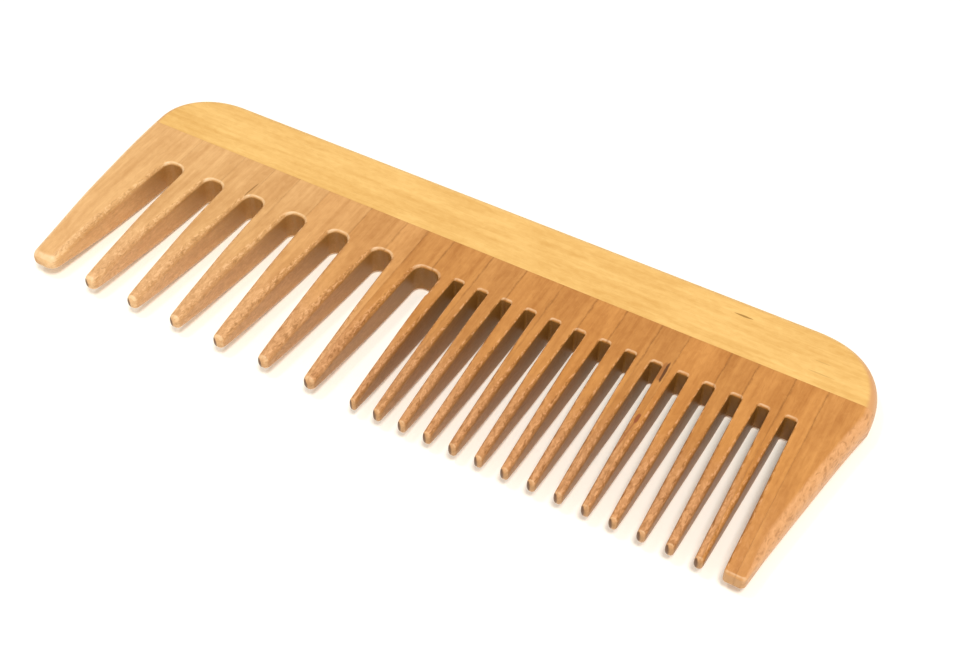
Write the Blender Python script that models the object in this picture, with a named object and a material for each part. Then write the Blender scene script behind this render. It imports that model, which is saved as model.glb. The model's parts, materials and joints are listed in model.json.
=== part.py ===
"""Wooden comb built as it is glued up and then sawn: one long spine strip across a row of staves.

The staves stand side by side with their grain along the teeth, and the spine ties their upper ends
together. The glued board is shaped to a rounded outline, thinned towards the tooth tips on both
faces, and slotted: wide teeth on the left, narrow teeth on the right.

Frame: X along the comb, Y from the tooth tips to the back, Z through the thickness. The origin is at
the middle of the comb's length and width, on the face that it lies on.
"""
import math

import bmesh
import bpy

MM = 0.001

# Driving dimensions of the shaped board, in millimetres.
LENGTH = 148.8
WIDTH = 53.0
THICKNESS = 6.2
SPINE_WIDTH = 13.1
EDGE_ROUND = 2.2
GLUE_GAP = 0.3

# The staves from left to right, in millimetres. The last one takes what is left of the length.
STAVE_WIDTHS = (12.3, 10.1, 7.0, 5.8, 6.6, 9.4, 7.8, 4.5, 5.5, 8.1, 6.8,
                7.4, 6.7, 5.8, 6.7, 5.2, 7.7, 4.9, 6.6, 5.7)

# Teeth: both faces slope in towards the tips, over the taper's length.
TIP_THICKNESS = 2.8
TAPER_LENGTH = 16.0
SLOT_DEPTH = 31.6

# Slots: the spacing of their centre lines, and their widths at the closed end and at the mouth.
WIDE_SLOTS = 7
WIDE_PITCH = 9.4
WIDE_FIRST_X = -62.25
WIDE_ROOT = 4.25
WIDE_MOUTH = 7.1
WIDE_CORNER = 1.7
WIDE_TIP_ROUND = 1.1
LAST_WIDE_ROOT = 5.1

NARROW_SLOTS = 14
NARROW_PITCH = 4.8
NARROW_FIRST_X = 0.35
NARROW_ROOT = 2.1
NARROW_MOUTH = 3.35
NARROW_CORNER = 0.5
NARROW_TIP_ROUND = 0.65

# Outline: how far each end slants in between its widest point and the tips, and its back corner.
LEFT_SLANT = 3.2
LEFT_CORNER = (13.0, 10.8)
RIGHT_SLANT = 6.8
RIGHT_SLANT_POWER = 1.05
RIGHT_CORNER = (15.2, 15.4)
RIGHT_CORNER_POWER = 2.35

# Construction values: how far cutters and raw strips run past the board, and facets per arc.
OVERRUN = 3.0
CORNER_STEPS = 10
SLOT_ARC_STEPS = 4
SLANT_STEPS = 5
EDGE_SEGMENTS = 3

TIPS_Y = -WIDTH / 2
BACK_Y = WIDTH / 2
GLUE_LINE_Y = BACK_Y - SPINE_WIDTH
END_X = LENGTH / 2

SPINE_COLOUR = (0.78, 0.50, 0.19)
STAVE_COLOUR = (0.60, 0.30, 0.11)


def clear_objects():
    for item in list(bpy.data.objects):
        bpy.data.objects.remove(item, do_unlink=True)


def wood(name, colour, roughness):
    """A satin wood with one colour."""
    material = bpy.data.materials.new(name)
    material.use_nodes = True
    shader = material.node_tree.nodes["Principled BSDF"]
    shader.inputs["Base Color"].default_value = (*colour, 1.0)
    shader.inputs["Roughness"].default_value = roughness
    shader.inputs["Metallic"].default_value = 0.0
    return material


def prism(name, outline, low, high, axis="Z"):
    """A closed solid: the outline, in millimetres, extruded from low to high along the axis.

    The outline's points are (x, y) for a prism along Z, and (y, z) for a prism along X.
    """
    shape = bmesh.new()
    place = (lambda p: (p[0], p[1], low)) if axis == "Z" else (lambda p: (low, p[0], p[1]))
    base = shape.faces.new([shape.verts.new([MM * c for c in place(p)]) for p in outline])
    moved = bmesh.ops.extrude_face_region(shape, geom=[base])["geom"]
    step = (0, 0, MM * (high - low)) if axis == "Z" else (MM * (high - low), 0, 0)
    top = [item for item in moved if isinstance(item, bmesh.types.BMVert)]
    bmesh.ops.translate(shape, verts=top, vec=step)
    bmesh.ops.recalc_face_normals(shape, faces=shape.faces)
    mesh = bpy.data.meshes.new(name)
    shape.to_mesh(mesh)
    shape.free()
    item = bpy.data.objects.new(name, mesh)
    bpy.context.collection.objects.link(item)
    return item


def as_guide(item):
    """A cutter or a blank: it shapes other pieces, and isn't one itself."""
    item.hide_render = True
    item.display_type = "WIRE"
    return item


def boolean(item, operation, other):
    step = item.modifiers.new(operation.lower(), "BOOLEAN")
    step.operation = operation
    step.solver = "EXACT"
    step.object = other


def corner(end_x, radii, power, steps=CORNER_STEPS):
    """A rounded back corner, from the end's widest point up to the back edge."""
    side = math.copysign(1.0, end_x)
    across, along = radii
    points = []
    for i in range(steps + 1):
        turn = math.pi / 2 * i / steps
        out = across * math.cos(turn) ** (2 / power)
        up = along * math.sin(turn) ** (2 / power)
        points.append((end_x + side * (out - across), BACK_Y - along + up))
    return points


def slanted_side(end_x, widest_y, slant, power, steps):
    """The side of an end tooth, from the tips up to just below the end's widest point."""
    side = math.copysign(1.0, end_x)
    points = []
    for i in range(steps):
        below = 1 - i / steps
        y = widest_y + (TIPS_Y - widest_y) * below
        points.append((end_x - side * slant * below ** power, y))
    return points


def board_outline():
    """The comb's outer outline without its slots, anticlockwise from the left tip."""
    right_y = BACK_Y - RIGHT_CORNER[1]
    left_y = BACK_Y - LEFT_CORNER[1]
    right = slanted_side(END_X, right_y, RIGHT_SLANT, RIGHT_SLANT_POWER, SLANT_STEPS)
    right += corner(END_X, RIGHT_CORNER, RIGHT_CORNER_POWER)
    left = slanted_side(-END_X, left_y, LEFT_SLANT, 1.0, 1)
    left += corner(-END_X, LEFT_CORNER, 2.0)
    return right + left[::-1]


def board_blank():
    """The outline at full thickness, with its long edges rounded over."""
    blank = as_guide(prism("board_blank", board_outline(), 0.0, THICKNESS))
    rounding = blank.modifiers.new("edge_round", "BEVEL")
    rounding.width = MM * EDGE_ROUND
    rounding.segments = EDGE_SEGMENTS
    rounding.limit_method = "ANGLE"
    rounding.angle_limit = math.radians(60)
    return blank


def taper_blank():
    """The board seen from its end: flat faces that slope in towards the tooth tips."""
    drop = (THICKNESS - TIP_THICKNESS) / 2
    past = drop * (1 + OVERRUN / TAPER_LENGTH)
    taper_y = TIPS_Y + TAPER_LENGTH
    profile = [
        (BACK_Y + OVERRUN, -OVERRUN), (BACK_Y + OVERRUN, THICKNESS + OVERRUN),
        (taper_y, THICKNESS + OVERRUN), (taper_y, THICKNESS),
        (TIPS_Y - OVERRUN, THICKNESS - past), (TIPS_Y - OVERRUN, past),
        (taper_y, 0.0), (taper_y, -OVERRUN),
    ]
    return as_guide(prism("taper_blank", profile, -END_X - OVERRUN, END_X + OVERRUN, "X"))


def quarter_arc(centre, radius, start, steps):
    """Points on a quarter circle, clockwise from the start angle in degrees."""
    turns = [math.radians(start - 90 * i / steps) for i in range(steps + 1)]
    return [(centre[0] + radius * math.cos(t), centre[1] + radius * math.sin(t)) for t in turns]


def slot_cutter(name, centre_x, root, mouth, corner_round, tip_round):
    """A slot that opens towards the tips, with a rounded closed end.

    Its mouth flares along a quarter circle on each side, which rounds the teeth's tips.
    """
    end_y = TIPS_Y + SLOT_DEPTH
    root_half = root / 2
    mouth_half = mouth / 2
    end_arc = quarter_arc((root_half - corner_round, end_y - corner_round), corner_round, 90,
                          SLOT_ARC_STEPS)
    flare = quarter_arc((mouth_half + tip_round, TIPS_Y + tip_round), tip_round, 270,
                        SLOT_ARC_STEPS)[::-1]
    right = end_arc + flare + [(mouth_half + tip_round, TIPS_Y - OVERRUN)]
    left = [(-x, y) for x, y in reversed(right)]
    outline = [(centre_x + x, y) for x, y in right + left]
    return as_guide(prism(name, outline, -OVERRUN, THICKNESS + OVERRUN))


def slot_cutters():
    """Every slot's cutter, with the left and right limits of what it reaches."""
    slots = []
    for i in range(WIDE_SLOTS):
        root = LAST_WIDE_ROOT if i == WIDE_SLOTS - 1 else WIDE_ROOT
        x = WIDE_FIRST_X + WIDE_PITCH * i
        cutter = slot_cutter(f"wide_slot_{i + 1:02d}", x, root, WIDE_MOUTH, WIDE_CORNER,
                             WIDE_TIP_ROUND)
        reach = WIDE_MOUTH / 2 + WIDE_TIP_ROUND
        slots.append((x - reach, x + reach, cutter))
    for i in range(NARROW_SLOTS):
        x = NARROW_FIRST_X + NARROW_PITCH * i
        cutter = slot_cutter(f"narrow_slot_{i + 1:02d}", x, NARROW_ROOT, NARROW_MOUTH,
                             NARROW_CORNER, NARROW_TIP_ROUND)
        reach = NARROW_MOUTH / 2 + NARROW_TIP_ROUND
        slots.append((x - reach, x + reach, cutter))
    return slots


def strip(name, left, right, bottom, top):
    """A raw strip of the glue-up, thicker than the finished board."""
    outline = [(left, bottom), (right, bottom), (right, top), (left, top)]
    return prism(name, outline, -OVERRUN, THICKNESS + OVERRUN)


def make_spine(blank):
    spine = strip("spine", -END_X - OVERRUN, END_X + OVERRUN, GLUE_LINE_Y + GLUE_GAP / 2,
                  BACK_Y + OVERRUN)
    boolean(spine, "INTERSECT", blank)
    spine.data.materials.append(wood("spine_wood", SPINE_COLOUR, 0.42))


def make_stave(number, left, right, blank, taper, slots):
    """One stave, shaped by the board's outline, the taper, and each slot that reaches it."""
    name = f"stave_{number:02d}"
    stave = strip(name, left, right, TIPS_Y - OVERRUN, GLUE_LINE_Y - GLUE_GAP / 2)
    boolean(stave, "INTERSECT", blank)
    boolean(stave, "INTERSECT", taper)
    for slot_left, slot_right, cutter in slots:
        if slot_left < right and slot_right > left:
            boolean(stave, "DIFFERENCE", cutter)
    shade = 1.0 + 0.08 * math.sin(2.4 * number)
    stave.data.materials.append(wood(f"{name}_wood", [shade * c for c in STAVE_COLOUR], 0.45))


def main():
    clear_objects()
    blank = board_blank()
    taper = taper_blank()
    slots = slot_cutters()
    make_spine(blank)
    joints = [-END_X]
    for width in STAVE_WIDTHS:
        joints.append(joints[-1] + width)
    joints.append(END_X)
    last = len(joints) - 1
    for number in range(1, last + 1):
        left = joints[number - 1] + GLUE_GAP / 2 if number > 1 else -END_X - OVERRUN
        right = joints[number] - GLUE_GAP / 2 if number < last else END_X + OVERRUN
        make_stave(number, left, right, blank, taper, slots)


main()
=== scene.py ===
"""The looks of the laminated wooden comb.

The shaped board is modelled once, with rounded rims, tapered teeth and sawn slots. It is then cut
along the same glue lines as the CAD strips, so each strip of wood is its own piece with its own grain.
"""
import json
import math

import bmesh
import bpy
from mathutils import Matrix, Vector
from mathutils.geometry import delaunay_2d_cdt


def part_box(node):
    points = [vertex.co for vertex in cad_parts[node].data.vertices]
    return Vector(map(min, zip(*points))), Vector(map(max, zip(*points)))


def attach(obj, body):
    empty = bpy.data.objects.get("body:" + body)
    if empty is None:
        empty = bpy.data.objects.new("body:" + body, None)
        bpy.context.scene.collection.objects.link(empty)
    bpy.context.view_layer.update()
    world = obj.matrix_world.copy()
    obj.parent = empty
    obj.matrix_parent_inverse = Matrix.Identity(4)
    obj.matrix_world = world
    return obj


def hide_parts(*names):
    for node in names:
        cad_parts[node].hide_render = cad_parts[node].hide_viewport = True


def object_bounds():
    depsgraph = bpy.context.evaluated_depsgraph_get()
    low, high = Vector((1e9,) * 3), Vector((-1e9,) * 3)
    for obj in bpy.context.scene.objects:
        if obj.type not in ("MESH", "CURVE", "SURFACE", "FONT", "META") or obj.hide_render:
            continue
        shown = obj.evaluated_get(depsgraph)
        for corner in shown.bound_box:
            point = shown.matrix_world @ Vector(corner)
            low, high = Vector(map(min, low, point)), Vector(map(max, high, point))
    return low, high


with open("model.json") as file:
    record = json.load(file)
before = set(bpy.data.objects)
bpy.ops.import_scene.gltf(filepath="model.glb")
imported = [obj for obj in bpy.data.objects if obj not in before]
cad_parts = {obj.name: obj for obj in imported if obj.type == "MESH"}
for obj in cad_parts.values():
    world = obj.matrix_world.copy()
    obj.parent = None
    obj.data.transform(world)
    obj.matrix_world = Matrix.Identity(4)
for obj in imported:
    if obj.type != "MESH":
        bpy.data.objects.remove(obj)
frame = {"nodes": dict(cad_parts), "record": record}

CAD_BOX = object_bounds()
LOW, HIGH = CAD_BOX

MM = 0.001
TO_MM = 1000
STAVES = sorted(name for name in frame["nodes"] if name.startswith("stave_"))
TIPS_Y = LOW.y
BACK_Y = HIGH.y
END_X = HIGH.x
THICKNESS = HIGH.z
MIDDLE_Z = THICKNESS / 2

# Thickness: each face drops to the tips, over the taper's length.
TIP_DROP = 1.72 * MM
TAPER_LENGTH = 18.5 * MM
TAPER_POWER = 1.6

# Slots: the height of their closed ends above the tips, their widths at the closed end and at the
# mouth, the radius of the closed end's corners, and how far they lean to the left at the mouth.
SLOT_DEPTH = 31.6 * MM
MOUTH_HEIGHT = 1.0 * MM
WIDE_ROOT = 4.25 * MM
LAST_WIDE_ROOT = 5.1 * MM
WIDE_MOUTH = 7.1 * MM
WIDE_CORNER = 1.7 * MM
WIDE_LEAN = 0.38 * MM
FIRST_WIDE_LEAN = 0.60 * MM
NARROW_SLOTS = 14
NARROW_PITCH = 4.8 * MM
NARROW_FIRST_X = 0.35 * MM
NARROW_ROOT = 2.1 * MM
NARROW_MOUTH = 3.20 * MM
NARROW_CORNER = 0.5 * MM
NARROW_LEAN = 0.10 * MM

# Outline: the slant of each end between its widest point and the tips, and its back corner.
LEFT_SLANT = 2.75 * MM
LEFT_CORNER = (13.0 * MM, 10.8 * MM)
LEFT_CORNER_POWER = 2.1
RIGHT_SLANT = 6.55 * MM
RIGHT_SLANT_POWER = 0.88
RIGHT_CORNER = (15.2 * MM, 15.4 * MM)
RIGHT_CORNER_POWER = 2.35

# Rounded rims, as (across the face, down the wall). Along a slot they change from its closed end to
# where they are broadest, and then to the tooth tips, at these heights above the tips. The slot end's
# own rim is the one at the middle of its arc.
WIDE_RIM = ((0.85 * MM, 0.85 * MM), (1.35 * MM, 1.50 * MM), (1.06 * MM, 1.30 * MM))
NARROW_RIM = ((0.32 * MM, 0.34 * MM), (0.80 * MM, 1.35 * MM), (0.60 * MM, 1.25 * MM))
SLOT_END_RIM = (0.65 * MM, 0.60 * MM)
RIM_STARTS = 28.0 * MM
RIM_BROADEST = 11.0 * MM
RIM_ENDS = 1.5 * MM

# The rims of the outline: the back, the two sides, and the tips of the two end teeth, which change to
# the side's rim over the fade's length. No rim goes deeper than a share of half the thickness.
BACK_RIM = (1.9 * MM, 2.0 * MM)
LEFT_RIM = (1.5 * MM, 1.3 * MM)
RIGHT_RIM = (2.2 * MM, 2.6 * MM)
LEFT_TIP_RIM = (1.6 * MM, 1.3 * MM)
RIGHT_TIP_RIM = (0.5 * MM, 0.6 * MM)
SIDE_RIM_FADE = 9.0 * MM
DEEPEST_RIM = 0.88

# Plan radius of the tooth tips, at most a share of the tooth's own width.
WIDE_TIP = 1.12 * MM
NARROW_TIP = 0.65 * MM
LEFT_TIP = 1.8 * MM
RIGHT_TIP = 0.7 * MM
TIP_SHARE = 0.46

# Points along the outline. Up to the ladder's top, both walls of a tooth have points at the same
# heights, so that quads can span it like the rungs of a ladder. Points closer together than the
# same-point distance count as one.
LADDER_TOP = 25.5 * MM
LEVEL_STEP = 0.9 * MM
BACK_STEP = 4.0 * MM
TIP_ARC_STEPS = 6
SLOT_ARC_STEPS = 8
SLOT_WALL_STEPS = 5
SIDE_STEPS = 8
CORNER_STEPS = 28
RIM_STEPS = 8
SAME_POINT = 0.05 * MM

# Pieces: each one stops this far short of the middle of a glue joint, is cut with this tolerance, and
# keeps the edges sharp that turn by more than the crease angle in degrees.
JOINT_CLEARANCE = 0.008 * MM
CUT_TOLERANCE = 1e-8
CREASE_ANGLE = 40

# The camera, aimed at a point on the board's mid-plane. Angles are in degrees and the lens in mm.
VIEW_AZIMUTH = 28.8
VIEW_ELEVATION = 47.6
VIEW_ROLL = 0.92
VIEW_DISTANCE = 242.8 * MM
VIEW_TARGET = Vector((8.6 * MM, -2.0 * MM, MIDDLE_Z))
LENS = 52.4


def make_camera():
    """A camera on the azimuth and elevation above, turned a little about its own axis."""
    turn, rise, roll = (math.radians(v) for v in (VIEW_AZIMUTH, VIEW_ELEVATION, VIEW_ROLL))
    back = Vector((math.sin(turn) * math.cos(rise), -math.cos(turn) * math.cos(rise), math.sin(rise)))
    level = Vector((math.cos(turn), math.sin(turn), 0))
    upright = back.cross(level)
    right = level * math.cos(roll) + upright * math.sin(roll)
    up = back.cross(right)
    data = bpy.data.cameras.new("camera")
    data.lens = LENS
    data.sensor_width = 36
    data.clip_start = 0.01
    camera = bpy.data.objects.new("camera", data)
    camera.matrix_world = Matrix.Translation(VIEW_TARGET + back * VIEW_DISTANCE) @ Matrix(
        (right, up, back)).transposed().to_4x4()
    bpy.context.collection.objects.link(camera)
    bpy.context.scene.camera = camera


# ---------------------------------------------------------------- the board's plan

def blend(low, high, share):
    return low + (high - low) * share


def smooth(share):
    share = min(max(share, 0.0), 1.0)
    return share * share * (3 - 2 * share)


class Slot:
    """A slot that widens from its closed end to its mouth and leans a little to the left."""

    def __init__(self, centre, lean, root, mouth, corner, rim):
        self.centre = centre
        self.lean = lean
        self.root = root / 2
        self.mouth = mouth / 2
        self.corner = corner
        self.rim = rim

    def wall(self, y, side):
        """The X of the left (-1) or right (1) wall at a height."""
        end = TIPS_Y + SLOT_DEPTH - self.corner
        down = (end - y) / (end - TIPS_Y - MOUTH_HEIGHT)
        return self.centre - self.lean * down + side * blend(self.root, self.mouth, down)


def slots():
    """The wide slots on the centre lines of the record's openings, then the narrow ones."""
    wide = []
    for opening in frame["record"]["physics"]["openings"]:
        if opening["name"].endswith("_deep"):
            low, high = opening["box_m"]
            centre = (low[0] + high[0]) / 2
            wide.append(Slot(centre, WIDE_LEAN, WIDE_ROOT, WIDE_MOUTH, WIDE_CORNER, WIDE_RIM))
    wide.sort(key=lambda slot: slot.centre)
    wide[0].lean = FIRST_WIDE_LEAN
    wide[-1].root = LAST_WIDE_ROOT / 2
    narrow = []
    for i in range(NARROW_SLOTS):
        centre = NARROW_FIRST_X + NARROW_PITCH * i
        narrow.append(Slot(centre, NARROW_LEAN, NARROW_ROOT, NARROW_MOUTH, NARROW_CORNER, NARROW_RIM))
    return wide + narrow


def half_thickness(y):
    """Half the board's thickness: full in the board, then falling ever faster to the tips."""
    below = max(TIPS_Y + TAPER_LENGTH - y, 0) / TAPER_LENGTH
    return MIDDLE_Z - TIP_DROP * below ** TAPER_POWER


def left_side(y):
    """The X of the comb's left side at a height."""
    below = max(BACK_Y - LEFT_CORNER[1] - y, 0) / (BACK_Y - LEFT_CORNER[1] - TIPS_Y)
    return -END_X + LEFT_SLANT * smooth(below)


def right_side(y):
    """The X of the comb's right side at a height."""
    below = max(BACK_Y - RIGHT_CORNER[1] - y, 0) / (BACK_Y - RIGHT_CORNER[1] - TIPS_Y)
    return END_X - RIGHT_SLANT * below ** RIGHT_SLANT_POWER


def corner_points(end_x, radii, power):
    """A back corner, from the side's widest point up to the back edge."""
    side = math.copysign(1.0, end_x)
    across, along = radii
    points = []
    for i in range(CORNER_STEPS + 1):
        turn = math.pi / 2 * i / CORNER_STEPS
        out = across * math.cos(turn) ** (2 / power)
        up = along * math.sin(turn) ** (2 / power)
        points.append((end_x + side * (out - across), BACK_Y - along + up))
    return points


def rimmed_corner(points, side_rim):
    """Corner points with their rims, which change from the side's rounding to the back's."""
    last = len(points) - 1
    return [(x, y, *(blend(a, b, smooth(i / last)) for a, b in zip(side_rim, BACK_RIM)))
            for i, (x, y) in enumerate(points)]


def rim_at(rim, y):
    """A wall's rounding at a height: it broadens from the closed end, then narrows to the tip."""
    height = y - TIPS_Y
    root, broadest, tip = rim
    upper = smooth((RIM_STARTS - height) / (RIM_STARTS - RIM_BROADEST))
    lower = smooth((RIM_BROADEST - height) / (RIM_BROADEST - RIM_ENDS))
    return [blend(blend(a, b, upper), c, lower) for a, b, c in zip(root, broadest, tip)]


def side_rim_at(tip_rim, side_rim, y):
    """The rounding of the comb's side at a height: it changes to the end tooth's tip."""
    share = smooth((y - TIPS_Y) / SIDE_RIM_FADE)
    return [blend(a, b, share) for a, b in zip(tip_rim, side_rim)]


class Tooth:
    """One tooth. Its two walls, and the rounding of each, are functions of the height."""

    def __init__(self, left, right, tip_round, left_rim, right_rim):
        self.left = left
        self.right = right
        self.tip_round = tip_round
        self.left_rim = left_rim
        self.right_rim = right_rim

    def levels(self):
        """The heights that both walls share, up to the ladder's top, each with its inset."""
        round_y = TIPS_Y + self.tip_round
        heights = []
        for i in range(TIP_ARC_STEPS):
            turn = math.pi / 2 * i / TIP_ARC_STEPS
            heights.append((TIPS_Y + self.tip_round * (1 - math.cos(turn)),
                            self.tip_round * (1 - math.sin(turn))))
        count = round((TIPS_Y + LADDER_TOP - round_y) / LEVEL_STEP)
        for i in range(count + 1):
            heights.append((blend(round_y, TIPS_Y + LADDER_TOP, i / count), 0.0))
        return heights

    def side(self, wall, rim, inward):
        """Outline points (x, y, rim across, rim down) of one wall, from the tip upwards."""
        return [(wall(y) + inward * inset, y, *rim(y)) for y, inset in self.levels()]


def inner_tooth(before, after):
    """A tooth between two slots. Where they differ, it takes the finer one's rim."""
    rim = min(before.rim, after.rim, key=lambda stages: stages[1][0])
    tip = WIDE_TIP if rim is WIDE_RIM else NARROW_TIP
    width = after.wall(TIPS_Y, -1) - before.wall(TIPS_Y, 1)
    return Tooth(left=lambda y: before.wall(y, 1), right=lambda y: after.wall(y, -1),
                 tip_round=min(tip, TIP_SHARE * width),
                 left_rim=lambda y: rim_at(rim, y), right_rim=lambda y: rim_at(rim, y))


def left_tooth(after):
    rim = (*after.rim[:2], LEFT_TIP_RIM)
    return Tooth(left=left_side, right=lambda y: after.wall(y, -1), tip_round=LEFT_TIP,
                 left_rim=lambda y: side_rim_at(LEFT_TIP_RIM, LEFT_RIM, y),
                 right_rim=lambda y: rim_at(rim, y))


def right_tooth(before):
    rim = (*before.rim[:2], RIGHT_TIP_RIM)
    return Tooth(left=lambda y: before.wall(y, 1), right=right_side, tip_round=RIGHT_TIP,
                 left_rim=lambda y: rim_at(rim, y),
                 right_rim=lambda y: side_rim_at(RIGHT_TIP_RIM, RIGHT_RIM, y))


def teeth(cuts):
    """Every tooth from left to right."""
    inner = [inner_tooth(before, after) for before, after in zip(cuts, cuts[1:])]
    return [left_tooth(cuts[0])] + inner + [right_tooth(cuts[-1])]


def slot_end(slot):
    """The closed end of a slot, from its left wall over to its right wall."""
    top = TIPS_Y + LADDER_TOP
    low_y = TIPS_Y + SLOT_DEPTH - slot.corner
    heights = [blend(top, low_y, i / SLOT_WALL_STEPS) for i in range(1, SLOT_WALL_STEPS)]
    left = [(slot.wall(y, -1), y, *rim_at(slot.rim, y)) for y in heights]
    right = [(slot.wall(y, 1), y, *rim_at(slot.rim, y)) for y in heights]
    arc = []
    for i in range(SLOT_ARC_STEPS + 1):
        turn = math.pi / 2 * i / SLOT_ARC_STEPS
        share = smooth(i / SLOT_ARC_STEPS)
        rim = [blend(a, b, share) for a, b in zip(rim_at(slot.rim, low_y), SLOT_END_RIM)]
        arc.append((slot.root - slot.corner * (1 - math.cos(turn)),
                    low_y + slot.corner * math.sin(turn), *rim))
    mirrored = [(-x, y, *rim) for x, y, *rim in arc]
    if arc[-1][0] < SAME_POINT:
        arc.pop()
    end = [(slot.centre + x, y, *rim) for x, y, *rim in mirrored + arc[::-1]]
    return left + end + right[::-1]


def side_points(side, low_y, high_y, rim):
    """Outline points of the comb's side, between the end tooth's ladder and the back corner."""
    heights = [blend(low_y, high_y, i / SIDE_STEPS) for i in range(1, SIDE_STEPS)]
    return [(side(y), y, *rim) for y in heights]


def back_points():
    """Outline points of the back edge, from right to left between its corners."""
    start_x = END_X - RIGHT_CORNER[0]
    end_x = -END_X + LEFT_CORNER[0]
    count = round((start_x - end_x) / BACK_STEP)
    return [(blend(start_x, end_x, i / count), BACK_Y, *BACK_RIM) for i in range(1, count)]


def board_outline():
    """Outline points anticlockwise, and for each tooth where its two walls' points are."""
    cuts = slots()
    outline = []
    ladders = []
    for i, tooth in enumerate(teeth(cuts)):
        left = tooth.side(tooth.left, tooth.left_rim, 1)
        right = tooth.side(tooth.right, tooth.right_rim, -1)
        start = len(outline)
        count = len(left)
        outline += left[::-1] + right
        ladders.append(([start + count - 1 - k for k in range(count)],
                        [start + count + k for k in range(count)]))
        if i < len(cuts):
            outline += slot_end(cuts[i])
    top = TIPS_Y + LADDER_TOP
    right_corner = corner_points(END_X, RIGHT_CORNER, RIGHT_CORNER_POWER)
    left_corner = corner_points(-END_X, LEFT_CORNER, LEFT_CORNER_POWER)
    outline += side_points(right_side, top, BACK_Y - RIGHT_CORNER[1], RIGHT_RIM)
    outline += rimmed_corner(right_corner, RIGHT_RIM)
    outline += back_points()
    outline += rimmed_corner(left_corner, LEFT_RIM)[::-1]
    outline += side_points(left_side, BACK_Y - LEFT_CORNER[1], top, LEFT_RIM)
    return outline, ladders


# ---------------------------------------------------------------- the board's surface

def inward_normals(outline):
    """Unit vectors into the wood, halfway between each point's two edges."""
    normals = []
    count = len(outline)
    for i in range(count):
        before = Vector(outline[i - 1][:2])
        here = Vector(outline[i][:2])
        after = Vector(outline[(i + 1) % count][:2])
        along = (here - before).normalized() + (after - here).normalized()
        along.normalize()
        normals.append(Vector((-along.y, along.x)))
    return normals


def rim_ring(shape, outline, normals, face, turn):
    """One ring of points round the board. Turn 0 is on the wall and a quarter turn on the face."""
    ring = []
    for (x, y, across, down), normal in zip(outline, normals):
        inset = across * (1 - math.cos(turn))
        ring_x = x + normal.x * inset
        ring_y = y + normal.y * inset
        depth = min(down, DEEPEST_RIM * half_thickness(y))
        lift = half_thickness(ring_y) - depth * (1 - math.sin(turn))
        ring.append(shape.verts.new((ring_x, ring_y, MIDDLE_Z + face * lift)))
    return ring


def board_surface():
    """The whole comb as one closed mesh: walls with rounded rims, closed by the two faces."""
    outline, ladders = board_outline()
    normals = inward_normals(outline)
    count = len(outline)
    shape = bmesh.new()
    turns = [math.pi / 2 * step / RIM_STEPS for step in range(RIM_STEPS + 1)]
    rings = [rim_ring(shape, outline, normals, -1, turn) for turn in reversed(turns)]
    rings += [rim_ring(shape, outline, normals, 1, turn) for turn in turns]
    for low, high in zip(rings, rings[1:]):
        for i in range(count):
            j = (i + 1) % count
            shape.faces.new((low[i], low[j], high[j], high[i]))
    cap_faces(shape, rings[-1], ladders, turned=False)
    cap_faces(shape, rings[0], ladders, turned=True)
    shape.normal_update()
    return shape


def cap_faces(shape, ring, ladders, turned):
    """Closes one face of the board inside its ring: quads on the teeth, triangles on the rest."""
    def add(verts):
        return shape.faces.new(verts[::-1] if turned else verts)

    border = []
    position = 0
    for left, right in ladders:
        for k in range(len(left) - 1):
            add([ring[left[k]], ring[right[k]], ring[right[k + 1]], ring[left[k + 1]]])
        border += ring[position:left[-1] + 1]
        position = right[-1]
    border += ring[position:]
    plan = [vert.co.xy * TO_MM for vert in border]
    inside_only = 1
    tolerance = 1e-6
    triangles = delaunay_2d_cdt(plan, [], [list(range(len(plan)))], inside_only, tolerance)[2]
    for triangle in triangles:
        add([border[i] for i in triangle])


def cut_away(shape, point, normal):
    """Removes what lies on the normal's side of a plane and closes the cut."""
    geometry = shape.verts[:] + shape.edges[:] + shape.faces[:]
    bmesh.ops.bisect_plane(shape, geom=geometry, dist=CUT_TOLERANCE, plane_co=point,
                           plane_no=normal, clear_outer=True)
    open_edges = [edge for edge in shape.edges if edge.is_boundary]
    bmesh.ops.holes_fill(shape, edges=open_edges, sides=0)


def finish_piece(name, shape, material):
    """Makes the named piece from its shape, and puts it in the CAD node's place."""
    ngons = [face for face in shape.faces if len(face.verts) > 4]
    bmesh.ops.triangulate(shape, faces=ngons)
    mesh = bpy.data.meshes.new(name + "_wood")
    shape.to_mesh(mesh)
    shape.free()
    mesh.shade_smooth()
    mesh.set_sharp_from_angle(angle=math.radians(CREASE_ANGLE))
    piece = bpy.data.objects.new(name + "_wood", mesh)
    bpy.context.collection.objects.link(piece)
    weights = piece.modifiers.new("face_weights", "WEIGHTED_NORMAL")
    weights.keep_sharp = True
    mesh.materials.append(material)
    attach(piece, "root")
    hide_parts(name)


# ---------------------------------------------------------------- materials

# Zones of the finish and of the painted shade and highlights, from where each starts to where it is
# full.
# They are in millimetres, like the coordinates inside the materials.
OUTER_SIDES = (TO_MM * END_X - 9, TO_MM * END_X - 6)
WITHIN_SIDES = (TO_MM * END_X - 5, TO_MM * END_X - 8)
SANDED_TEETH = (TO_MM * TIPS_Y + 22, TO_MM * TIPS_Y + 6)
NEAR_TIPS = (TO_MM * TIPS_Y + 7, TO_MM * TIPS_Y + 3)
UP_THE_WALLS = (TO_MM * (TIPS_Y + SLOT_DEPTH) - 14, TO_MM * (TIPS_Y + SLOT_DEPTH) - 1)
ABOVE_SLOTS = (TO_MM * (TIPS_Y + SLOT_DEPTH) - 6, TO_MM * (TIPS_Y + SLOT_DEPTH) + 1)
UPPER_FACE = (TO_MM * MIDDLE_Z, TO_MM * MIDDLE_Z + 1)

# Glue lines between staves: how far they waver to each side, and how far from their middle they start
# to show and are darkest.
SEAM_WAVER = 0.14
SEAM_FADE = (0.34, 0.04)

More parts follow.
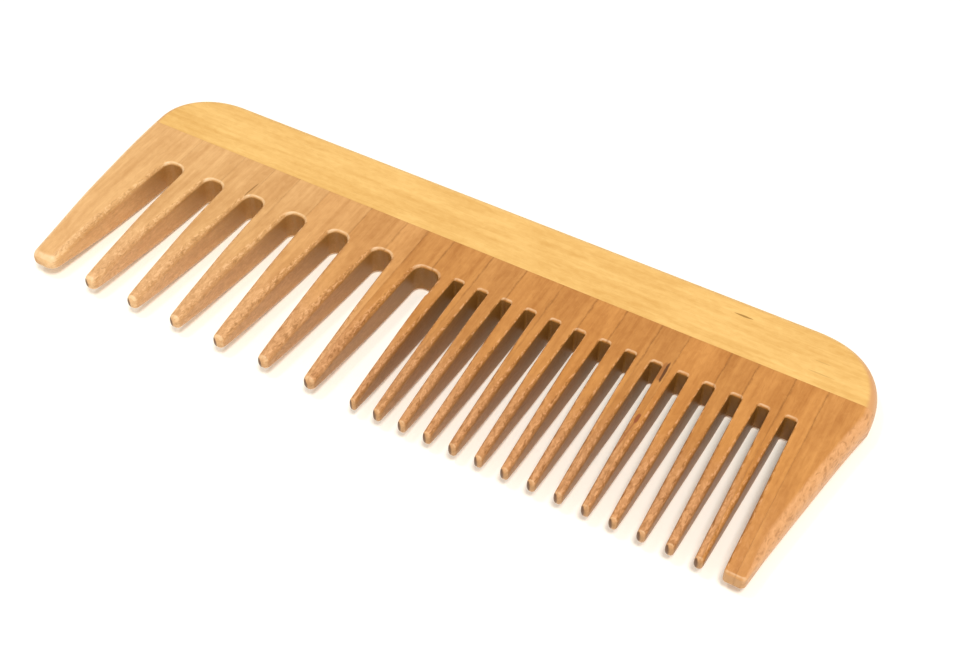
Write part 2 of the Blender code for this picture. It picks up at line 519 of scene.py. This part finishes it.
# The surface: its sheen, its roughness with what the fibres add, and the fibres' relief in metres.
SHEEN = 0.32
ROUGHNESS = 0.31
FIBRE_ROUGHNESS = 0.16
RELIEF_STRENGTH = 0.20
RELIEF_HEIGHT = 0.00005

# How strongly each layer shows, the painted wall shade included. Pairs are for the palest and the
# reddest stave.
SANDING = 0.65
END_TOOTH_SANDING = 0.15
FLECKS = (0.48, 0.68)
SPINE_FLECKS = 0.25
LAST_STAVE_FLECKS = 0.42
LAST_STAVE_FLECK_SIZE = 1.4
OPEN_WALL_PAINTED_SHADE = (0.0, 0.55)
CLOSED_WALL_PAINTED_SHADE = 0.86
SEAM_STRENGTH = (0.10, 0.60)


def colour(red, green, blue):
    return (red, green, blue, 1.0)


def toned(tone, factor, lift=0.0):
    """A colour made lighter or darker by the factor, and paler by the lift."""
    return colour(*(min(1.0, factor * part + lift) for part in tone[:3]))


def blend_colours(low, high, share):
    return tuple(blend(a, b, share) for a, b in zip(low, high))


# Colours as (light streaks, dark streaks, cut ends). On the staves the cut-end colour is only laid on
# as painted shade on the slot walls.
HONEY = (colour(0.900, 0.560, 0.185), colour(0.690, 0.370, 0.092), colour(0.68, 0.34, 0.135))
PALE = (colour(0.820, 0.480, 0.195), colour(0.590, 0.298, 0.098), colour(0.42, 0.195, 0.045))
TAN = (colour(0.672, 0.296, 0.074), colour(0.446, 0.164, 0.030), colour(0.275, 0.122, 0.018))
SANDED_PALE = colour(0.700, 0.385, 0.175)
SANDED_TAN = colour(0.560, 0.272, 0.120)
# Painted highlight colours for the slots' rims and the tips, on pale and on tan wood.
PAINTED_HIGHLIGHT_PALE = colour(0.900, 0.620, 0.335)
PAINTED_HIGHLIGHT_TAN = colour(0.740, 0.440, 0.215)
# Tooth tip ends: dark end grain with painted shade on the side turned from the light.
TIP_END_GRAIN_AND_SHADE = colour(0.12, 0.050, 0.018)
END_TOOTH_TIP = colour(0.60, 0.310, 0.120)
CRACK = colour(0.30, 0.140, 0.035)
GLUE_STAIN = colour(0.135, 0.048, 0.012)
RED_STREAK = colour(0.33, 0.115, 0.028)
KNOT = colour(0.26, 0.065, 0.020)
FLECK = colour(0.36, 0.180, 0.035)

# Each stave's wood, from left to right: how far it is from pale to tan, and how light it is.
# The paling towards the left is partly the staves' own tone and partly painted light, as more light
# fell on the left.
STAVE_TONES_AND_LIGHT = ((0.00, 1.01), (0.03, 0.99), (0.10, 0.98), (0.20, 0.97), (0.18, 0.98), (0.42, 0.99),
               (0.62, 0.98), (0.66, 1.00), (0.92, 0.93), (0.96, 0.93), (0.88, 0.94), (0.95, 0.96),
               (0.96, 0.95), (1.00, 0.98), (0.98, 0.95), (0.97, 0.92), (1.00, 1.00), (1.00, 0.93),
               (1.00, 0.98), (1.00, 1.00), (0.95, 1.00))


class Nodes:
    """Short ways to add shader nodes to one material."""

    def __init__(self, name):
        self.material = bpy.data.materials.new(name)
        self.material.use_nodes = True
        self.tree = self.material.node_tree
        self.shader = self.tree.nodes["Principled BSDF"]

    def add(self, kind, settings=None, **inputs):
        """Adds a node. Its inputs are given by name, or by number as i0, i1 and so on."""
        item = self.tree.nodes.new("ShaderNode" + kind)
        for key, value in (settings or {}).items():
            setattr(item, key, value)
        for key, value in inputs.items():
            numbered = key[0] == "i" and key[1:].isdigit()
            self.set(item.inputs[int(key[1:]) if numbered else key], value)
        return item

    def set(self, socket, value):
        if isinstance(value, bpy.types.NodeSocket):
            self.tree.links.new(value, socket)
        else:
            socket.default_value = value

    def math(self, operation, a, b=0.0):
        return self.add("Math", {"operation": operation}, i0=a, i1=b).outputs[0]

    def times(self, a, b):
        return self.math("MULTIPLY", a, b)

    def plus(self, a, b):
        return self.math("ADD", a, b)

    def size(self, value):
        """The value without its sign."""
        return self.math("ABSOLUTE", value)

    def larger(self, a, b):
        return self.math("MAXIMUM", a, b)

    def mix(self, a, b, share):
        return self.add("Mix", {"data_type": "RGBA"}, i0=share, i6=a, i7=b).outputs[2]

    def span(self, value, low, high, to_low=0.0, to_high=1.0):
        """A smooth step from to_low to to_high, as the value goes from low to high."""
        item = self.add("MapRange", {"interpolation_type": "SMOOTHSTEP"}, i0=value, i1=low, i2=high,
                        i3=to_low, i4=to_high)
        return item.outputs[0]

    def place(self, scale, offset=(0, 0, 0)):
        """Object coordinates in millimetres, scaled on each axis and moved."""
        where = self.add("TexCoord").outputs["Object"]
        factors = [TO_MM * factor for factor in scale]
        item = self.add("Mapping", {"vector_type": "POINT"}, Vector=where, Location=offset,
                        Scale=factors)
        return item.outputs[0]

    def noise(self, where, detail, roughness, distortion):
        item = self.add("TexNoise", Vector=where, Scale=1.0, Detail=detail, Roughness=roughness,
                        Distortion=distortion)
        return item.outputs["Fac"]


class Wood:
    """Satin wood whose colour is laid on in layers: the figure first, then what lies over it."""

    def __init__(self, name, along, tone, seed):
        self.n = n = Nodes(name)
        self.along = along
        self.light, self.dark, self.end = tone
        self.shift = (17.0 * seed, 9.0 * seed, 5.0 * seed)
        normal = n.add("NewGeometry").outputs["Normal"]
        self.facing = n.add("SeparateXYZ", Vector=normal).outputs
        self.x, self.y, self.z = n.add("SeparateXYZ", Vector=n.place((1, 1, 1))).outputs
        self.fibre = self.streaks(5.0, 0.20, 4.0, 0.65)
        self.mottle = self.streaks(1.9, 0.9, 3.0, 0.6, 0.5)
        self.base = self.figure()

    def streaks(self, length, width, detail, roughness, distortion=0.0):
        """Noise drawn out along the grain, with the streaks' length and width in millimetres."""
        long, wide = 1 / length, 1 / width
        scale = (long, wide, wide) if self.along == "X" else (wide, long, wide)
        return self.n.noise(self.n.place(scale, self.shift), detail, roughness, distortion)

    def cover(self, tone, share):
        """Lays a colour over the layers so far."""
        self.base = self.n.mix(self.base, tone, share)

    def figure(self):
        """Light and dark streaks of several sizes, with fine dark pores."""
        n = self.n
        cloud = self.streaks(14.0, 2.6, 2.0, 0.5, 0.5)
        band = self.streaks(55.0, 0.9, 3.0, 0.6, 0.15)
        pore = self.streaks(2.4, 0.13, 2.0, 0.5)
        layers = ((cloud, 0.34, 0.66, 0.36), (band, 0.32, 0.68, 0.26), (self.fibre, 0.28, 0.72, 0.12),
                  (self.mottle, 0.30, 0.70, 0.26))
        share = 0.0
        for value, low, high, weight in layers:
            share = n.plus(n.times(n.span(value, low, high), weight), share)
        streaked = n.mix(self.light, self.dark, share)
        return n.mix(streaked, toned(self.dark, 0.70), n.times(n.span(pore, 0.62, 0.74), 0.25))

    def flecks(self, shaped, strength, size=1.0):
        """The small pale and deep flecks that show where the surface cuts across the grain."""
        n = self.n
        fleck = self.streaks(1.1 * size, 0.5 * size, 2.0, 0.65, 0.8)
        shown = n.times(shaped, strength)
        self.cover(toned(self.light, 1.12, 0.11), n.times(n.span(fleck, 0.50, 0.64), shown))
        self.cover(toned(self.dark, 0.66), n.times(n.span(fleck, 0.47, 0.34), shown))

    def material(self):
        """The finished material: the colour, a satin sheen and the fibres' faint relief."""
        n = self.n
        roughness = n.plus(ROUGHNESS, n.times(self.fibre, FIBRE_ROUGHNESS))
        relief = n.add("Bump", Strength=RELIEF_STRENGTH, Distance=RELIEF_HEIGHT, Height=self.fibre)
        n.set(n.shader.inputs["Base Color"], self.base)
        n.set(n.shader.inputs["Specular IOR Level"], SHEEN)
        n.set(n.shader.inputs["Roughness"], roughness)
        n.set(n.shader.inputs["Normal"], relief.outputs[0])
        return n.material


class SpineWood(Wood):
    """The spine: its grain runs along the comb, so its two ends are end grain."""

    def __init__(self):
        super().__init__("spine", "X", HONEY, 1)
        n = self.n
        ends = n.size(self.facing[0])
        sides = n.size(self.facing[1])
        outer = n.span(n.size(self.x), *OUTER_SIDES)
        shown = n.larger(n.span(sides, 0.99, 0.85, 0.35), outer)
        self.flecks(n.times(n.span(sides, 0.10, 0.50), shown), SPINE_FLECKS)
        self.cover(self.end, n.times(n.span(ends, 0.05, 0.50), 0.95))
        self.cover(toned(self.end, 1.05), n.times(n.span(sides, 0.20, 0.75), 0.45))


class StaveWood(Wood):
    """A stave: its grain runs along the teeth, which are sawn, tapered and sanded."""

    def __init__(self, name, number):
        # Pale-to-tan share and lightness: partly the stave's own tone, partly painted light.
        self.share, shade = STAVE_TONES_AND_LIGHT[number]
        tone = [toned(blend_colours(pale, tan, self.share), shade) for pale, tan in zip(PALE, TAN)]
        super().__init__(name, "Y", tone, 2 + number)
        self.last = number == len(STAVES) - 1
        self.end_tooth = number in (0, len(STAVES) - 2, len(STAVES) - 1)
        self.upright = self.n.size(self.facing[2])
        self.toward_tips = self.n.times(self.facing[1], -1.0)
        self.near_tip = self.n.span(self.y, *NEAR_TIPS)
        self.sanded_teeth_and_painted_light()
        self.painted_wall_shade()
        self.painted_highlights()
        self.tip_end_grain_and_shade()

    def sanded_teeth_and_painted_light(self):
        """The tapered faces and rounded sides are paler, and flecked where they cross the grain. The
        paler rounded sides of the two outer ends are painted light.
        """
        n = self.n
        sides = n.size(self.facing[0])
        outer = n.span(n.size(self.x), *OUTER_SIDES)
        shown = n.larger(n.span(sides, 0.99, 0.85, 0.35), outer)
        rounded = n.times(n.span(sides, 0.10, 0.50), shown)
        sanding = END_TOOTH_SANDING if self.end_tooth else SANDING
        tapered = n.times(n.span(self.y, *SANDED_TEETH), sanding)
        self.cover(blend_colours(SANDED_PALE, SANDED_TAN, self.share), tapered)
        # Painted light: the rounded sides of the two outer ends are made paler, for the light falling
        # on the right end.
        self.cover(toned(self.light, 1.05, 0.13), n.times(rounded, n.times(outer, 0.50)))
        strength = LAST_STAVE_FLECKS if self.last else blend(*FLECKS, self.share)
        size = LAST_STAVE_FLECK_SIZE if self.last else 1.0
        self.flecks(n.larger(rounded, tapered), strength, size)

    def painted_wall_shade(self):
        """Painted shade: the slot walls are darkened with the cut-end colour, most towards the slots'
        closed ends.
        """
        n = self.n
        inner = n.span(n.size(self.x), *WITHIN_SIDES)
        walls = n.times(n.span(self.upright, 0.55, 0.05), inner)
        depth = n.span(self.y, *UP_THE_WALLS, blend(*OPEN_WALL_PAINTED_SHADE, self.share), CLOSED_WALL_PAINTED_SHADE)
        # Painted shade: the cut-end colour darkens the walls deep in the slots.
        self.cover(self.end, n.times(walls, depth))

    def painted_highlights(self):
        """Painted highlights: a pale patchy band on the slots' rims and on the tips, where their
        rounded edges catch the light.
        """
        n = self.n
        rim = n.times(n.span(self.toward_tips, 0.16, 0.40), n.span(self.toward_tips, 0.84, 0.66))
        rim = n.times(rim, n.span(self.upright, 0.25, 0.50))
        tip = n.times(self.near_tip, n.span(self.toward_tips, 0.30, 0.62, 0.0, 0.45))
        patchy = n.span(self.mottle, 0.30, 0.62, 0.35, 0.85)
        highlight = blend_colours(PAINTED_HIGHLIGHT_PALE, PAINTED_HIGHLIGHT_TAN, self.share)
        # Painted highlight laid over the rims and the tips.
        self.cover(highlight, n.times(n.larger(rim, tip), patchy))

    def tip_end_grain_and_shade(self):
        """The tips' ends are dark where they face a little to the left: end grain, deepened by painted
        shade on the side turned from the light; palest on the end teeth.
        """
        n = self.n
        turned = n.times(self.facing[0], -0.50)
        toward = n.plus(n.times(self.toward_tips, 0.84), turned)
        end_and_shade = n.times(n.span(toward, 0.77, 0.89), self.near_tip)
        # Dark end grain and painted shade on the tip ends.
        self.cover(END_TOOTH_TIP if self.end_tooth else TIP_END_GRAIN_AND_SHADE, n.times(end_and_shade, 0.92))

    def glue_lines(self, seams):
        """The glue joints show as thin dark lines that waver, and fade down the teeth."""
        n = self.n
        wobble = self.streaks(6.0, 3.0, 3.0, 0.6)
        fading = n.span(self.y, *ABOVE_SLOTS, 0.35)
        for seam in seams:
            bent = n.plus(self.x, n.span(wobble, 0.2, 0.8, -SEAM_WAVER, SEAM_WAVER))
            gap = n.size(n.math("SUBTRACT", bent, TO_MM * seam))
            patchy = n.span(self.mottle, 0.3, 0.65, 0.1, blend(*SEAM_STRENGTH, self.share))
            line = n.times(n.span(gap, *SEAM_FADE), patchy)
            self.cover(toned(self.dark, 0.70), n.times(line, fading))


class Flaw:
    """A long thin mark in the upper face: its middle and half-lengths along X and Y, in mm."""

    def __init__(self, x, y, half_x, half_y, stain, strength, lean=0.0):
        self.x = x
        self.y = y
        self.half_x = half_x
        self.half_y = half_y
        self.stain = stain
        self.strength = strength
        self.lean = lean

    def touches(self, low, high):
        """Whether the mark's middle is over a piece's box, or within 1 mm of it, along X."""
        return low.x < (self.x + 1) * MM and (self.x - 1) * MM < high.x

    def mark(self, wood):
        n = wood.n
        along = n.math("SUBTRACT", wood.y, self.y)
        leaning = n.times(along, self.lean)
        across = n.math("SUBTRACT", n.math("SUBTRACT", wood.x, self.x), leaning)
        reaches = [n.math("POWER", n.math("DIVIDE", n.size(offset), half), 2.0)
                   for offset, half in ((across, self.half_x), (along, self.half_y))]
        reach = n.plus(n.plus(*reaches), n.span(wood.mottle, 0.2, 0.8, -0.45, 0.45))
        share = n.times(n.span(reach, 1.15, 0.45), self.strength)
        wood.cover(self.stain, n.times(share, n.span(wood.z, *UPPER_FACE)))


STAVE_FLAWS = (Flaw(-45.6, 6.4, 0.20, 2.2, CRACK, 0.8, 0.08),
               Flaw(40.3, 3.6, 0.55, 2.5, RED_STREAK, 0.70),
               Flaw(40.75, 3.8, 0.30, 2.6, GLUE_STAIN, 1.0, -0.03),
               Flaw(41.0, -7.6, 0.38, 1.2, KNOT, 0.85),
               Flaw(40.75, -11.4, 0.20, 4.0, KNOT, 0.50, 0.08))
SPINE_FLAWS = (Flaw(47.3, 22.4, 1.8, 0.24, FLECK, 0.9),
               Flaw(63.7, 16.4, 2.4, 0.16, FLECK, 0.35),
               Flaw(63.0, 19.0, 1.6, 0.14, FLECK, 0.30))


# ---------------------------------------------------------------- pieces

def make_spine(board, glue_y):
    shape = board.copy()
    cut_away(shape, (0, glue_y + JOINT_CLEARANCE, 0), (0, -1, 0))
    wood = SpineWood()
    for flaw in SPINE_FLAWS:
        flaw.mark(wood)
    finish_piece("spine", shape, wood.material())


def glue_joints():
    """The X of each joint between staves: halfway between neighbouring CAD staves."""
    boxes = [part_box(name) for name in STAVES]
    return [(left[1].x + right[0].x) / 2 for left, right in zip(boxes, boxes[1:])]


def make_stave(board, name, number, joints):
    """One stave, cut out of the board at the glue joints on its left and right."""
    before = joints[number - 1:number] if number else []
    after = joints[number:number + 1]
    shape = board.copy()
    for joint in before:
        cut_away(shape, (joint + JOINT_CLEARANCE, 0, 0), (-1, 0, 0))
    for joint in after:
        cut_away(shape, (joint - JOINT_CLEARANCE, 0, 0), (1, 0, 0))
    wood = StaveWood(name, number)
    wood.glue_lines(before + after)
    for flaw in STAVE_FLAWS:
        if flaw.touches(*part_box(name)):
            flaw.mark(wood)
    finish_piece(name, shape, wood.material())


def make_comb():
    board = board_surface()
    glue_y = (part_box("spine")[0].y + max(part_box(name)[1].y for name in STAVES)) / 2
    make_spine(board, glue_y)
    cut_away(board, (0, glue_y - JOINT_CLEARANCE, 0), (0, 1, 0))
    joints = glue_joints()
    for number, name in enumerate(STAVES):
        make_stave(board, name, number, joints)
    board.free()


# ---------------------------------------------------------------- floor and light

FLOOR_HALF = 1.5
FLOOR_GAP = 0.1 * MM


def make_floor():
    """A plain pale floor just below the comb. A faint warm glow lightens its shadows."""
    shape = bmesh.new()
    bmesh.ops.create_grid(shape, x_segments=1, y_segments=1, size=FLOOR_HALF)
    bmesh.ops.translate(shape, verts=shape.verts, vec=(0, 0, LOW.z - FLOOR_GAP))
    mesh = bpy.data.meshes.new("floor")
    shape.to_mesh(mesh)
    shape.free()
    floor = bpy.data.objects.new("floor", mesh)
    bpy.context.collection.objects.link(floor)
    n = Nodes("pale_floor")
    n.set(n.shader.inputs["Base Color"], colour(0.93, 0.91, 0.84))
    n.set(n.shader.inputs["Roughness"], 0.6)
    n.set(n.shader.inputs["Emission Color"], colour(1.0, 0.96, 0.80))
    n.set(n.shader.inputs["Emission Strength"], 0.15)
    mesh.materials.append(n.material)


def area_light(name, place, size, power):
    """A round soft light, turned to the comb."""
    data = bpy.data.lights.new(name, "AREA")
    data.shape = "DISK"
    data.size = size
    data.energy = power
    light = bpy.data.objects.new(name, data)
    light.location = place
    light.rotation_euler = (Vector(place) * -1).to_track_quat("-Z", "Y").to_euler()
    bpy.context.collection.objects.link(light)


def make_light():
    world = bpy.data.worlds.new("studio")
    world.use_nodes = True
    background = world.node_tree.nodes["Background"]
    background.inputs["Color"].default_value = colour(1.0, 0.99, 0.97)
    background.inputs["Strength"].default_value = 0.54
    bpy.context.scene.world = world
    area_light("key", place=(0.28, -0.28, 1.00), size=0.30, power=6.9)
    area_light("second", place=(-0.34, -0.14, 0.95), size=0.14, power=1.6)
    bpy.context.scene.view_settings.view_transform = "Standard"


make_camera()
make_comb()
make_floor()
make_light()
